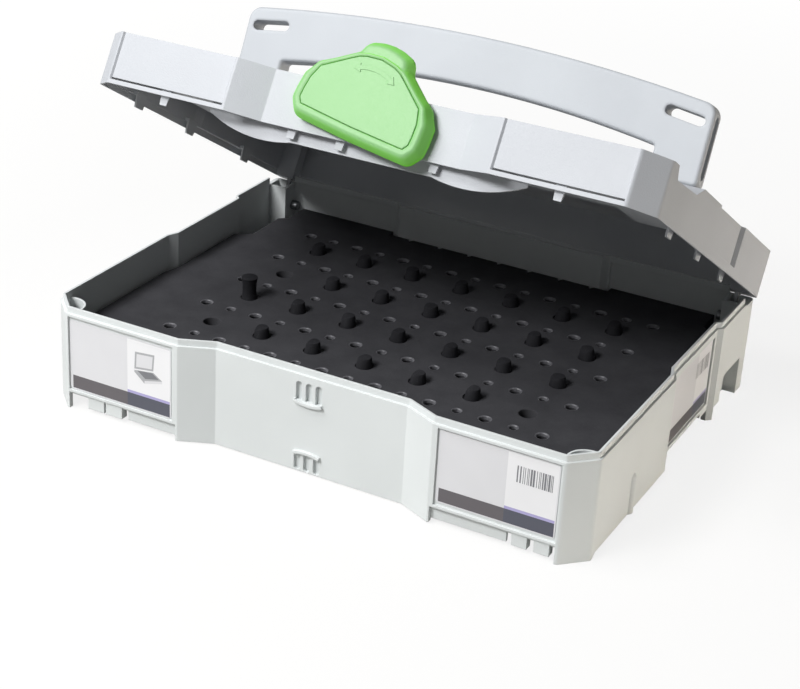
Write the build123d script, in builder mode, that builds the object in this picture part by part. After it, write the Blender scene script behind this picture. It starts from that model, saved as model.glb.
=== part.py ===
"""Tool case with a foam bit insert, in millimetres.

X is to the right, Y to the back and Z up. The origin is the middle of the base's footprint on
the plane it rests on. Lid, latch and handle are drawn as on the closed case and then turned to
the pose of the photograph, with the lid half open and the handle up.
"""

import os

from build123d import *

os.makedirs("parts", exist_ok=True)

# plan of the case
half_width = 198.0
half_depth = 148.0
front_recess = 10.5
front_centre_x = 70.0
front_side_x = 93.0
corner_cut = 16.0
corner_zone = 28.0
side_recess = 3.4
side_recess_front = 0.0
side_recess_rear = 80.0
jog_length = 8.0
rear_recess = 5.3
rear_centre_x = 82.0
rear_jog_x = 86.0
corner_soft = 4.0
bend_soft = 2.0

# base walls and rim
wall = 3.4
wall_overlap = 0.4
rim_shoulder = 1.8
shoulder_z = 70.7
upstand_height = 4.2
floor_low = 12.0
floor_top = 14.5
rear_thinned = 1.2
rear_edge_chamfer = 0.8
well_inset_x = 8.0
well_inset_y = 12.0
well_radius = 13.0
well_wall = 1.4
well_drop = 0.7
side_boss_radius = 4.6
side_boss_set_in = 2.6
side_boss_from_front = 78.0
side_boss_top = 27.5

# label pockets
pocket_depth = 1.6
pocket_inner_gap = 3.8
pocket_outer_gap = 18.0
pocket_low = 14.5
pocket_drop = 2.1
side_pocket_drop = 4.7
side_pocket_margin = 3.0
card_thickness = 0.5
card_gap_left = 0.5
card_gap_right = 0.8
card_play = 2.2
card_play_high = 3.1
ledge_thickness = 2.0

# feet and what shows below the ledges
foot_play = 1.5
front_middle_rise = 1.0
side_rise = 3.0
skirt_low_z = 3.0
skirt_high_z = 10.5
tab_low_z = 3.0
tab_width = (13.0, 10.5)
tab_outer_x = ((42.0, 27.5), (29.4, 14.4))
arch_from_rear = (53.0, 16.0)
arch_top_z = 28.6
arch_soft = (8.0, 3.5)
arch_depth = 9.5
arch_wall = 3.0
leg_thickness = 4.4
leg_rear_z = 9.5

# hinge
hinge_from_rear = 6.0
hinge_z = 52.4
rest_open = 30.8
pin_radius = 2.0
pin_seat_gap = 0.02
pin_run_gap = 0.05
pin_head_radius = 3.7
pin_head_length = 5.5
pin_end_inset = 7.0
hinge_box_inset = 18.0
hinge_box_depth = 17.0
hinge_box_drop = 1.5
box_wall = 2.4
boss_radius = 4.5
boss_inset = 10.0
arm_inset = 14.0
arm_thickness = 3.0
arm_radius = 3.5
arm_lean = 12.0
slot_gap = 0.6
block_gap = 0.6
block_lift = 0.2
block_rear_gap = 1.0

# lid
lid_gap = 0.5
lid_height = 34.8
lid_wall = 2.5
lid_rim = 1.2
lid_rebate = 4.3
lid_band = 6.5
lid_side_recess = 3.0
lid_recess_front = -2.0
lid_recess_rear = 60.0
lid_recess_step = 2.0
panel_depth = 1.3
panel_low = 2.8
panel_inner_gap = 1.2
panel_corner_gap = 0.8
notch_from_front = (26.5, 31.0, 77.0, 91.5)
notch_depth = 8.3
notch_tilt = 1.4
notch_inset = 16.5
notch_margin = 3.5

# tongues under the lid's rim
tongue_thickness = 1.5
tongue_gap = 0.9
tongue_root = 2.4
side_tongue_drop = 4.0
side_tongue_half = (6.5, 4.5)
side_tongues_from_rear = (235.0, 163.0, 83.0)
front_tongue_drop = 5.6
front_tongue_half = (3.6, 2.5)
front_tongues = (-139.0, -49.0, -14.0, 52.0, 139.0)

# inner skirt behind the lid's front
skirt_from_front = 8.5
skirt_thickness = 1.5
skirt_half = 113.0
skirt_bend = 50.0
skirt_drop = 7.5
skirt_belly = 9.5

# handle
handle_s = 146.0
handle_w = 26.0
handle_side_gap = 21.4
handle_leg = 34.4
handle_top = 84.2
handle_top_end = 71.7
grip_low = 49.9
grip_low_end = 38.3
handle_thickness = 15.5
handle_front = 6.8
handle_lean = 4.6
handle_top_soft = 9.0
grip_soft = 2.5
foot_soft = 3.0
handle_edge = 1.4
leg_bottom = 17.5
lug_width = 26.6
lug_radius = 5.8
lug_front = 3.8
handle_pin_radius = 3.0
handle_pin_in = 14.0
handle_pin_out = 4.2
strap_slot = (28.8, 7.0)
strap_slot_inset = 19.5
strap_slot_height = 61.2
strap_slot_tilt = 8.0
side_slot = (42.0, 7.0)
side_slot_height = 44.0
side_slot_depth = 3.0
channel_gap = 1.5
channel_floor_w = 17.2
channel_rear_gap = 1.0
island_side_gap = 1.7
island_front_gap = 1.3
finger_recess = (100.0, 26.0)

# latch
latch_rise = 16.0
face_lift = 1.0
rest_turn = 10.2
knob_gap = 2.9
knob_reach = 13.5
knob_band = 3.0
face_margin = 3.5
knob_flare = 5.0
face_thickness = 2.2
face_proud = 0.2
face_gap = 0.4
boss_proud = 2.6
spindle_radius = 5.0
spindle_tail = 5.0
neck_half = 18.5
neck_low = 30.0
neck_top = 45.5
neck_back = 1.6
neck_bevel = 3.0
washer_radius = 9.0
washer_thickness = 1.4
clip_radius = 8.5
clip_thickness = 1.2

# lips for the latch hook, and the finger slots beside them
lip_outer = 37.3
lip_inner = 35.3
lip_proud = 2.2
lip_half_angle = 16.5
hook_inner = 37.9
hook_outer = 43.0
hook_gap = 0.6
hook_half_angle = 20.0
stack_nest = 0.5
finger_half = 2.3
finger_pitch = 7.2
finger_depth = 2.4
upper_finger_drop = (34.7, 23.7)
lower_finger_z = (4.0, 14.5)

# foam
foam_top = 50.0
foam_layer = 3.0
foam_gap = 0.4
foam_side_gap = 2.8
foam_rear_gap = 0.6
foam_corner = 22.0
foam_hinge_gap = 2.5
grid_x = 1.7
grid_pitch = 40.0
large_radius = 6.0
small_radii = (4.0, 3.0)
large_rows = (-67.7, -19.7, 28.3, 76.3)
small_rows = (-89.7, -43.7, 4.3, 52.3, 100.3)
large_count = 7
small_count = 15
open_holes = ((0, 0), (6, 0), (0, 2))
raised_hole = (0, 1)
plug_sides = 12
plug_gap = 0.05
plug_sunk = 8.0
plug_height = 7.5
plug_top_radius = 4.5
raised_top = 66.0
raised_low = 31.0
raised_shaft = 4.9
raised_head = (4.0, 1.0)

# places that follow from the sizes above
front_y = -half_depth
front_centre_y = front_y + front_recess
rear_centre_y = half_depth - rear_recess
side_x = half_width - side_recess
inner_front_y = front_centre_y + wall
inner_side_x = side_x - wall
rear_inner_y = half_depth - wall
upstand_top = shoulder_z + upstand_height
ledge_low = pocket_low - ledge_thickness
under_ledge = floor_low + 0.5
pocket_x = (front_side_x + pocket_inner_gap, half_width - pocket_outer_gap)
pocket_high = shoulder_z - pocket_drop
side_pocket_high = shoulder_z - side_pocket_drop
hinge_y = half_depth - hinge_from_rear
hinge_box_x = half_width - hinge_box_inset
hinge_box_y = half_depth - hinge_box_depth
hinge_box_top = shoulder_z - hinge_box_drop
pin_end_x = half_width - pin_end_inset
arm_x = half_width - arm_inset
lid_z = shoulder_z + lid_gap
lid_top = lid_z + lid_height
ceiling = lid_top - lid_wall
latch_z = lid_z + latch_rise
stack_height = lid_top - stack_nest
handle_half = half_width - handle_side_gap
handle_inner = handle_half - handle_leg
pivot_y = half_depth - handle_s
pivot_z = lid_z + handle_w

base_half = [
    (0, front_centre_y),
    (front_centre_x, front_centre_y),
    (front_side_x, front_y),
    (half_width - corner_cut, front_y),
    (half_width, front_y + corner_cut),
    (half_width, side_recess_front - jog_length),
    (side_x, side_recess_front),
    (side_x, side_recess_rear),
    (half_width, side_recess_rear + side_recess),
    (half_width, half_depth),
    (rear_jog_x, half_depth),
    (rear_centre_x, rear_centre_y),
    (0, rear_centre_y),
]
rim_half = [*base_half[:5], (half_width, half_depth), (0, half_depth)]
lid_half = [
    *base_half[:5],
    (half_width, lid_recess_front - jog_length),
    (half_width - lid_side_recess, lid_recess_front),
    (half_width - lid_side_recess, lid_recess_rear),
    (half_width, lid_recess_rear + lid_recess_step),
    (half_width, half_depth),
    (0, half_depth),
]


def both_sides(half):
    """The whole outline from its right half, which starts and ends on the middle plane."""
    return half + [(-x, y) for x, y in reversed(half[1:-1])]


def case_plan(half, inset=0.0):
    """Plan of the case from its right half, set in from the outside."""
    with BuildSketch() as plan:
        with BuildLine():
            Polyline(*both_sides(half), close=True)
        make_face()
        if inset > 0:
            offset(amount=-inset, kind=Kind.INTERSECTION)
        corner_x = half_width - corner_zone
        corner_y = half_depth - corner_zone
        outer = [v for v in plan.vertices() if abs(v.X) > corner_x and abs(v.Y) > corner_y]
        fillet(outer, max(corner_soft - inset, 1.0))
        front = [v for v in plan.vertices() if v.Y < -corner_y]
        bend_x = (front_centre_x - 10, front_side_x + 10)
        fillet([v for v in front if bend_x[0] < abs(v.X) < bend_x[1]], bend_soft)
    return plan.sketch


def raised(sketch, low, high):
    """A solid of a sketch between two heights."""
    with BuildPart() as piece:
        with BuildSketch(Plane.XY.offset(low)):
            add(sketch)
        extrude(amount=high - low)
    return piece.part


def block(x, y, z):
    """A box from its two limits on each axis."""
    with BuildPart() as piece:
        with Locations(((x[0] + x[1]) / 2, (y[0] + y[1]) / 2, (z[0] + z[1]) / 2)):
            Box(abs(x[1] - x[0]), y[1] - y[0], z[1] - z[0])
    return piece.part


def twin(x, y, z):
    """Two boxes, one on either side of the middle plane."""
    return [block(x, y, z), block((-x[1], -x[0]), y, z)]


def rod(radius, x, y, z):
    """A round bar along X."""
    low, high = sorted(x)
    with BuildPart() as piece:
        with BuildSketch(Plane.YZ.offset(low)):
            with Locations((y, z)):
                Circle(radius)
        extrude(amount=high - low)
    return piece.part


def twin_rods(radius, x, y, z):
    """Two round bars along X, one on either side of the middle plane."""
    return [rod(radius, x, y, z), rod(radius, (-x[0], -x[1]), y, z)]


def disc(radius, y, x, z):
    """A round bar along Y."""
    with BuildPart() as piece:
        with BuildSketch(Plane.XZ.offset(-y[1])):
            with Locations((x, z)):
                Circle(radius)
        extrude(amount=y[1] - y[0])
    return piece.part


def arc_band(inner, outer, y, z, half_angle, upward):
    """Part of a flat ring standing across Y, round a centre on the middle plane."""
    start = (90 if upward else 270) - half_angle
    with BuildPart() as piece:
        with BuildSketch(Plane.XZ.offset(-y[1])):
            with BuildLine():
                a = CenterArc((0, z), outer, start, 2 * half_angle)
                b = CenterArc((0, z), inner, start, 2 * half_angle)
                Line(a @ 0, b @ 0)
                Line(a @ 1, b @ 1)
            make_face()
        extrude(amount=y[1] - y[0])
    return piece.part


def outlined(plane, points, depth):
    """A plate of an outline drawn on a plane."""
    with BuildPart() as piece:
        with BuildSketch(plane):
            with BuildLine():
                Polyline(*points, close=True)
            make_face()
        extrude(amount=depth)
    return piece.part


def side_profile(points, x):
    """A bar along X from its outline in Y and Z."""
    low, high = sorted(x)
    return outlined(Plane.YZ.offset(low), points, high - low)


def opened(part):
    """A lid part turned from the closed case to the half open pose."""
    return part.rotate(Axis((0, hinge_y, hinge_z), (1, 0, 0)), -rest_open)


def save(part, name):
    """Label a part and write its file."""
    part.label = name
    export_step(part, f"parts/{name}.step")


# base shell
def corner_wells():
    """Curved walls that close off the two front corners."""
    well_x = half_width - well_inset_x
    well_y = front_y + well_inset_y
    with BuildPart() as piece:
        with BuildSketch(Plane.XY.offset(floor_low + 1)):
            add(case_plan(base_half, wall - wall_overlap))
            with Locations((well_x, well_y), (-well_x, well_y)):
                Circle(well_radius, mode=Mode.INTERSECT)
            with Locations((well_x, well_y), (-well_x, well_y)):
                Circle(well_radius - well_wall, mode=Mode.SUBTRACT)
        extrude(amount=shoulder_z - well_drop - floor_low - 1)
    return piece.part


def arch_cuts():
    """Arched recesses in the outside of the rear corner blocks, open below."""
    front, rear = half_depth - arch_from_rear[0], half_depth - arch_from_rear[1]
    with BuildPart() as piece:
        with BuildSketch(Plane.YZ.offset(half_width - arch_depth)) as outline:
            with BuildLine():
                Polyline(
                    (front, -1), (front, arch_top_z), (rear, arch_top_z), (rear, -1), close=True
                )
            make_face()
            top = outline.vertices().sort_by(Axis.Z)[-2:].sort_by(Axis.Y)
            fillet(top[0], arch_soft[0])
            fillet(top[1], arch_soft[1])
        extrude(amount=arch_depth + 1)
        mirror(about=Plane.YZ)
    return piece.part


def side_bosses():
    """Upright half round bosses on the front half of both sides."""
    boss_x = half_width - side_boss_set_in
    boss_y = front_y + side_boss_from_front
    low = side_boss_top - 26.0
    with BuildPart() as piece:
        with Locations((boss_x, boss_y, low), (-boss_x, boss_y, low)):
            align = (Align.CENTER, Align.CENTER, Align.MIN)
            Cylinder(side_boss_radius, side_boss_top - low, align=align)
        with Locations((boss_x, boss_y, side_boss_top), (-boss_x, boss_y, side_boss_top)):
            Sphere(side_boss_radius)
    return piece.part


def front_tabs():
    """Skirts and tabs below the ledges under the front label pockets."""
    outer = pocket_x[1]
    low_y = (front_y + 3.0, front_y + 5.4)
    high_y = (front_y + 2.0, front_y + 5.0)
    tab_y = (front_y + 1.2, front_y + 7.0)
    pieces = []
    for side, width, starts in zip((-1, 1), tab_width, tab_outer_x):
        split = outer - starts[0] - 4.0
        for x, y, low in (
            ((front_side_x, split), low_y, skirt_low_z),
            ((split - 1.0, outer + 0.5), high_y, skirt_high_z),
            *[((outer - s, outer - s + width), tab_y, tab_low_z) for s in starts],
        ):
            pieces.append(block((side * x[0], side * x[1]), y, (low, under_ledge)))
    return pieces


def side_skirts():
    """Skirts under the side pockets, and the wall behind the arched recesses."""
    skirt_x = (inner_side_x - 3.7, inner_side_x - 1.2)
    step_x = (side_x - 4.4, side_x - 0.2)
    turn_y = side_recess_rear - 14
    back_x = (half_width - arch_depth - arch_wall, half_width - wall + wall_overlap)
    back_y = (
        half_depth - arch_from_rear[0] - arch_wall,
        half_depth - arch_from_rear[1] + arch_wall,
    )
    return [
        *twin(skirt_x, (side_recess_front + 2, turn_y), (skirt_low_z + 1, under_ledge)),
        *twin(step_x, (turn_y, side_recess_rear + 1), (skirt_low_z + 5, under_ledge)),
        *twin(back_x, back_y, (0, arch_top_z + arch_wall)),
    ]


with BuildPart() as base_shell:
    add(raised(case_plan(base_half), 0, shoulder_z))
    add(raised(case_plan(base_half, rim_shoulder), shoulder_z, upstand_top))
    add(side_bosses())
    inside = case_plan(base_half, wall)
    side_y = (side_recess_front + side_pocket_margin, side_recess_rear - side_pocket_margin)
    side_z = (pocket_low, side_pocket_high)
    zone_x = (hinge_box_x, half_width + 1)
    zone_y = (hinge_box_y, half_depth + 1)
    thinned_x = (rear_jog_x + 3, hinge_box_x)
    thinned_y = (rear_inner_y - 1, rear_inner_y + rear_thinned)
    under_x = (front_side_x + foot_play, pocket_x[1])
    under_y = (front_y - 1, front_y + wall + 1)
    foot_x = (half_width - 10, half_width + 5)
    foot_slope = [
        (front_y + 17, -1),
        (front_y + 17, 0),
        (front_y + 22, side_rise + 0.2),
        (front_y + 23, -1),
    ]
    add(
        [
            raised(inside, floor_top, upstand_top + 1),
            raised(inside, -1, floor_low),
            # thinner rear wall beside the middle, and the low rim over the hinges
            *twin(thinned_x, thinned_y, (floor_top, shoulder_z)),
            *twin(zone_x, zone_y, (hinge_box_top, upstand_top + 1)),
            # label pockets, front and sides, and the room below their ledges
            *twin(pocket_x, (front_y - 1, front_y + pocket_depth), (pocket_low, pocket_high)),
            *twin(under_x, under_y, (-1, ledge_low)),
            *twin((side_x - pocket_depth, side_x + 1), side_y, side_z),
            *twin(
                (inner_side_x - 1, half_width + 1),
                (side_recess_front - 2, side_recess_rear),
                (-1, ledge_low - 1),
            ),
            *twin(
                (inner_side_x - 1, half_width + 1),
                (side_recess_rear + leg_thickness, half_depth - arch_from_rear[0] + 0.5),
                (-1, leg_rear_z),
            ),
            # lower edges of the front middle, the sides and the rear
            block(
                (-front_side_x - foot_play, front_side_x + foot_play),
                (front_y - 1, inner_front_y + 4),
                (-1, front_middle_rise),
            ),
            *twin(foot_x, (front_y + 22, side_recess_front - 2), (-1, side_rise)),
            block((33 - half_width, half_width - 33), (half_depth - 10, zone_y[1]), (-1, side_rise)),
            side_profile(foot_slope, (-foot_x[1], foot_x[1])),
        ],
        mode=Mode.SUBTRACT,
    )
    box_x = (hinge_box_x, half_width - wall + wall_overlap)
    box_y = (hinge_box_y, hinge_box_y + box_wall)
    inner_x = (hinge_box_x, hinge_box_x + box_wall)
    inner_y = (hinge_box_y, rear_inner_y + wall_overlap)
    pin_boss_x = (half_width - boss_inset, half_width - wall + wall_overlap)
    lip_y = (front_centre_y - lip_proud, front_centre_y + wall_overlap)
    lower_lip_z = latch_z - stack_height
    lip_depth = lip_outer - lip_inner
    add(
        [
            *front_tabs(),
            *side_skirts(),
            corner_wells(),
            # hinge boxes in the rear corners, with the bosses that hold the pins
            *twin(box_x, box_y, (floor_low + 1, hinge_box_top)),
            *twin(inner_x, inner_y, (floor_low + 1, hinge_box_top)),
            *twin_rods(boss_radius, pin_boss_x, hinge_y, hinge_z),
            # lips that take the hook of this latch and of a case below
            arc_band(lip_inner, lip_outer, lip_y, latch_z, lip_half_angle, False),
            arc_band(lip_inner - lip_depth, lip_inner, lip_y, lower_lip_z, lip_half_angle, True),
        ]
    )
    slot_x = (arm_x - slot_gap, arm_x + arm_thickness + slot_gap)
    slot_z = (hinge_z - arm_radius - slot_gap, upstand_top)
    pin_bore_x = (hinge_box_x - 1, pin_end_x + 0.3)
    finger_y = (front_centre_y - 1, front_centre_y + finger_depth)
    upper_finger_z = (latch_z - upper_finger_drop[0], latch_z - upper_finger_drop[1])
    finger_slots = []
    for x in (-finger_pitch, 0.0, finger_pitch):
        finger_x = (x - finger_half, x + finger_half)
        finger_slots.append(block(finger_x, finger_y, upper_finger_z))
        finger_slots.append(disc(finger_half, finger_y, x, upper_finger_z[1]))
        finger_slots.append(block(finger_x, finger_y, lower_finger_z))
        finger_slots.append(disc(finger_half, finger_y, x, lower_finger_z[0]))
    add(
        [
            arch_cuts(),
            *twin_rods(pin_radius + pin_seat_gap, pin_bore_x, hinge_y, hinge_z),
            # openings in the rear wall for the arms
            *twin(slot_x, (rear_inner_y - 0.5, half_depth + 1), slot_z),
            *finger_slots,
        ],
        mode=Mode.SUBTRACT,
    )
    # rear edge of the shoulder eased for the lid's swing
    shoulder_edges = [
        e
        for e in base_shell.edges().filter_by(Axis.X)
        if abs(e.center().Z - shoulder_z) < 0.1 and e.center().Y > half_depth - 0.1
    ]
    chamfer(shoulder_edges, rear_edge_chamfer)
save(base_shell.part, "base_shell")

# hinge pins
for sign, side in ((-1, "left"), (1, "right")):
    with BuildPart() as hinge_pin:
        add(rod(pin_radius, (sign * hinge_box_x, sign * pin_end_x), hinge_y, hinge_z))
        head_x = (sign * (hinge_box_x - pin_head_length), sign * hinge_box_x)
        add(rod(pin_head_radius, head_x, hinge_y, hinge_z))
        head = hinge_pin.faces().sort_by(Axis.X)[0 if sign > 0 else -1]
        chamfer(head.edges(), 0.6)
    save(hinge_pin.part, f"hinge_pin_{side}")

# label cards
card_width = pocket_x[1] - pocket_x[0] - card_play
card_height = pocket_high - pocket_low - card_play_high
card_y = (front_y + pocket_depth - card_thickness, front_y + pocket_depth)
left_card_x = card_gap_left - pocket_x[1]
right_card_x = pocket_x[0] + card_gap_right
left_card_z = pocket_low + 0.5
right_card_z = pocket_high - 1.0 - card_height
side_card_x = (side_x - pocket_depth, side_x - pocket_depth + card_thickness)
cards = {
    "label_card_front_left": block(
        (left_card_x, left_card_x + card_width),
        card_y,
        (left_card_z, left_card_z + card_height),
    ),
    "label_card_front_right": block(
        (right_card_x, right_card_x + card_width),
        card_y,
        (right_card_z, right_card_z + card_height),
    ),
    "label_card_side_right": block(
        side_card_x,
        (side_y[0] + 0.5, side_y[1] - 0.5),
        (side_z[0] + 0.5, side_z[1] - 0.5),
    ),
}
for name, card in cards.items():
    save(card, name)

# foam block with its two sizes of holes over a thin solid layer
foam_front_y = front_y + wall + foam_gap
foam_side_x = half_width - wall - foam_side_gap
foam_recess_x = inner_side_x - foam_side_gap
foam_hinge_x = hinge_box_x - foam_hinge_gap
foam_hinge_y = hinge_box_y - 15.0
foam_rear_y = rear_inner_y + rear_thinned - foam_rear_gap
foam_rear_centre_y = rear_centre_y - wall - foam_gap
foam_half = [
    (0, inner_front_y + foam_gap),
    (front_centre_x + 1.2, inner_front_y + foam_gap),
    (front_side_x + 1.2, foam_front_y),
    (half_width - foam_corner, foam_front_y),
    (half_width - foam_corner, front_y + foam_corner - 4.0),
    (half_width - foam_corner + 6.5, front_y + foam_corner + 3.0),
    (foam_side_x, front_y + foam_corner + 4.0),
    (foam_side_x, side_recess_front - 18.0),
    (foam_recess_x, side_recess_front - 4.0),
    (foam_recess_x, side_recess_rear - 9.0),
    (foam_hinge_x, side_recess_rear),
    (foam_hinge_x, foam_hinge_y),
    (foam_hinge_x - 6.0, foam_hinge_y + 6.0),
    (foam_hinge_x - 6.0, foam_rear_y),
    (rear_jog_x + 5, foam_rear_y),
    (rear_jog_x + 5, foam_rear_centre_y),
    (rear_jog_x, foam_rear_centre_y),
    (0, foam_rear_centre_y),
]


def foam_plan():
    """Plan of the foam."""
    with BuildSketch() as plan:
        with BuildLine():
            Polyline(*both_sides(foam_half), close=True)
        make_face()
    return plan.sketch


def large_at(column, row):
    """Middle of a large hole."""
    return (grid_x + (column - (large_count - 1) / 2) * grid_pitch, large_rows[row])


foam_low = floor_top + foam_layer
large_all = [(c, r) for r in range(len(large_rows)) for c in range(large_count)]
round_holes = [h for h in large_all if h in open_holes or h == raised_hole]
plugged_holes = [h for h in large_all if h not in round_holes]
small_x = [grid_x + (i - (small_count - 1) / 2) * grid_pitch / 2 for i in range(small_count)]
with BuildPart() as foam_insert:
    add(raised(foam_plan(), foam_low, foam_top))
    with BuildSketch(Plane.XY.offset(foam_low)):
        with Locations(*[large_at(c, r) for c, r in round_holes]):
            Circle(large_radius)
        with Locations(*[large_at(c, r) for c, r in plugged_holes]):
            RegularPolygon(large_radius, plug_sides)
        for start, radius in enumerate(small_radii):
            with Locations(*[(x, y) for x in small_x[start::2] for y in small_rows]):
                RegularPolygon(radius, 8)
    extrude(amount=foam_top - foam_low + 1, mode=Mode.SUBTRACT)
save(foam_insert.part, "foam_insert")

with BuildPart() as foam_base_layer:
    add(raised(foam_plan(), floor_top, foam_low))
save(foam_base_layer.part, "foam_base_layer")

# short plugs left standing in most of the large holes
plug_radius = large_radius - plug_gap
with BuildPart() as bit_plugs:
    with BuildSketch(Plane.XY.offset(foam_top - plug_sunk)):
        with Locations(*[large_at(c, r) for c, r in plugged_holes]):
            RegularPolygon(plug_radius, plug_sides)
    extrude(amount=plug_sunk)
    for c, r in plugged_holes:
        with BuildSketch(Plane.XY.offset(foam_top)):
            with Locations(large_at(c, r)):
                RegularPolygon(plug_radius, plug_sides)
        with BuildSketch(Plane.XY.offset(foam_top + plug_height)):
            with Locations(large_at(c, r)):
                RegularPolygon(plug_top_radius, plug_sides)
        loft()
save(bit_plugs.part, "bit_plugs")

# the one tall plug, which slides in its hole
raised_x, raised_y = large_at(*raised_hole)
with BuildPart() as raised_plug:
    with BuildSketch(Plane.XZ.offset(-raised_y)):
        with BuildLine():
            Polyline(
                (raised_x, raised_low),
                (raised_x + plug_radius, raised_low),
                (raised_x + plug_radius, foam_top),
                (raised_x + raised_shaft, foam_top),
                (raised_x + raised_shaft, raised_top - raised_head[0]),
                (raised_x + plug_radius, raised_top - raised_head[1]),
                (raised_x + plug_radius, raised_top),
                (raised_x, raised_top),
                close=True,
            )
        make_face()
    revolve(axis=Axis((raised_x, raised_y, 0), (0, 0, 1)))
save(raised_plug.part, "raised_plug")

# lid shell, drawn closed
channel_floor = lid_z + channel_floor_w
channel_under = channel_floor - lid_wall
channel_side = handle_half + channel_gap
notch_floor = lid_top - notch_depth
notch_under = notch_floor - lid_wall
notch_y = [front_y + distance for distance in notch_from_front]
lid_inner = case_plan(lid_half, lid_wall)


def channel_plan(grow=0.0):
    """Plan of the folded handle's channel in the lid's top."""
    rear = pivot_y + handle_thickness - handle_front + channel_rear_gap
    front = pivot_y - handle_top - channel_gap
    front_end = pivot_y - handle_top_end - channel_gap
    island_front = pivot_y - grip_low_end + island_front_gap
    with BuildSketch() as plan:
        with BuildLine():
            Polyline(
                (channel_side, front_end),
                (channel_side, rear),
                (-channel_side, rear),
                (-channel_side, front_end),
            )
            ThreePointArc((-channel_side, front_end), (0, front), (channel_side, front_end))
        make_face()
        with Locations((0, (rear + 1 + island_front) / 2)):
            Rectangle(
                2 * (handle_inner - island_side_gap),
                rear + 1 - island_front,
                mode=Mode.SUBTRACT,
            )
        with Locations((0, island_front - 1 + finger_recess[1] / 2)):
            Rectangle(*finger_recess)
        if grow > 0:
            offset(amount=grow, kind=Kind.INTERSECTION)
    return plan.sketch


def notch_plan():
    """Plan of the solid left round the notches in the lid's top corners."""
    low = notch_y[0] - notch_margin
    high = notch_y[-1] + notch_margin
    inner = half_width - notch_inset - lid_wall
    with BuildSketch() as plan:
        for sign in (1, -1):
            with Locations((sign * (inner + half_width + 3) / 2, (low + high) / 2)):
                Rectangle(half_width + 3 - inner, high - low)
    return plan.sketch


def lid_void(low, high, *kept):
    """Hollow of the lid between two heights, less the plans that stay solid there."""
    with BuildPart() as piece:
        with BuildSketch(Plane.XY.offset(low)):
            add(lid_inner)
            for plan in kept:
                add(plan, mode=Mode.SUBTRACT)
        extrude(amount=high - low)
    return piece.part


def tongue(plane, middle, half, drop):
    """A tapered tongue hanging below the rim, drawn on an upright plane."""
    low, high = lid_z - drop, lid_z + lid_rebate + 0.5
    points = [
        (middle - half[0], high),
        (middle + half[0], high),
        (middle + half[1], low),
        (middle - half[1], low),
    ]
    return outlined(plane, points, tongue_thickness)


def tongue_parts():
    """All the tongues, with the roots that tie them to the lid's wall."""
    root_z = (lid_z + lid_rebate, lid_z + lid_rebate + tongue_root)
    pieces = []
    for distance in side_tongues_from_rear:
        y = half_depth - distance
        recessed = side_recess_front - jog_length < y < side_recess_rear
        outer_x = (inner_side_x if recessed else half_width - wall) - tongue_gap
        root_x = (outer_x - tongue_thickness, outer_x + 3.0)
        root_y = (y - side_tongue_half[0], y + side_tongue_half[0])
        for plane_x in (outer_x - tongue_thickness, -outer_x):
            plane = Plane.YZ.offset(plane_x)
            pieces.append(tongue(plane, y, side_tongue_half, side_tongue_drop))
        pieces += twin(root_x, root_y, root_z)
    for x in front_tongues:
        front = front_centre_y if abs(x) < front_centre_x else front_y
        y = front + wall + tongue_gap
        plane = Plane.XZ.offset(-y - tongue_thickness)
        pieces.append(tongue(plane, x, front_tongue_half, front_tongue_drop))
        root_x = (x - front_tongue_half[0], x + front_tongue_half[0])
        pieces.append(block(root_x, (front + 1.5, y + tongue_thickness), root_z))
    return pieces


def inner_skirt():
    """The thin wall behind the lid's front, with a round belly at both ends."""
    y = front_centre_y + skirt_from_front
    belly_x = (skirt_half + skirt_bend) / 2
    low = lid_z - skirt_drop
    with BuildPart() as piece:
        with BuildSketch(Plane.XZ.offset(-y - skirt_thickness)):
            with BuildLine():
                Polyline(
                    (skirt_half, lid_z),
                    (skirt_half, ceiling + 0.5),
                    (-skirt_half, ceiling + 0.5),
                    (-skirt_half, lid_z),
                )
                belly = lid_z - skirt_belly
                ThreePointArc((-skirt_half, lid_z), (-belly_x, belly), (-skirt_bend, low))
                Line((-skirt_bend, low), (skirt_bend, low))
                ThreePointArc((skirt_bend, low), (belly_x, belly), (skirt_half, lid_z))
            make_face()
        extrude(amount=skirt_thickness)
    return piece.part


def panel_recesses():
    """Shallow recesses in the lid's front, from the inner bend to the cut corner."""
    inner = front_side_x + panel_inner_gap
    outer = half_width - corner_cut - panel_corner_gap
    with BuildPart() as piece:
        with BuildSketch(Plane.XY.offset(lid_z + panel_low)):
            with BuildLine():
                Polyline(
                    (inner - 1, front_y - 1),
                    (inner + panel_depth, front_y + panel_depth),
                    (outer - panel_depth, front_y + panel_depth),
                    (outer + 1, front_y - 1),
                    close=True,
                )
            make_face()
            mirror(about=Plane.YZ)
        extrude(amount=lid_height)
    return piece.part


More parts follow.
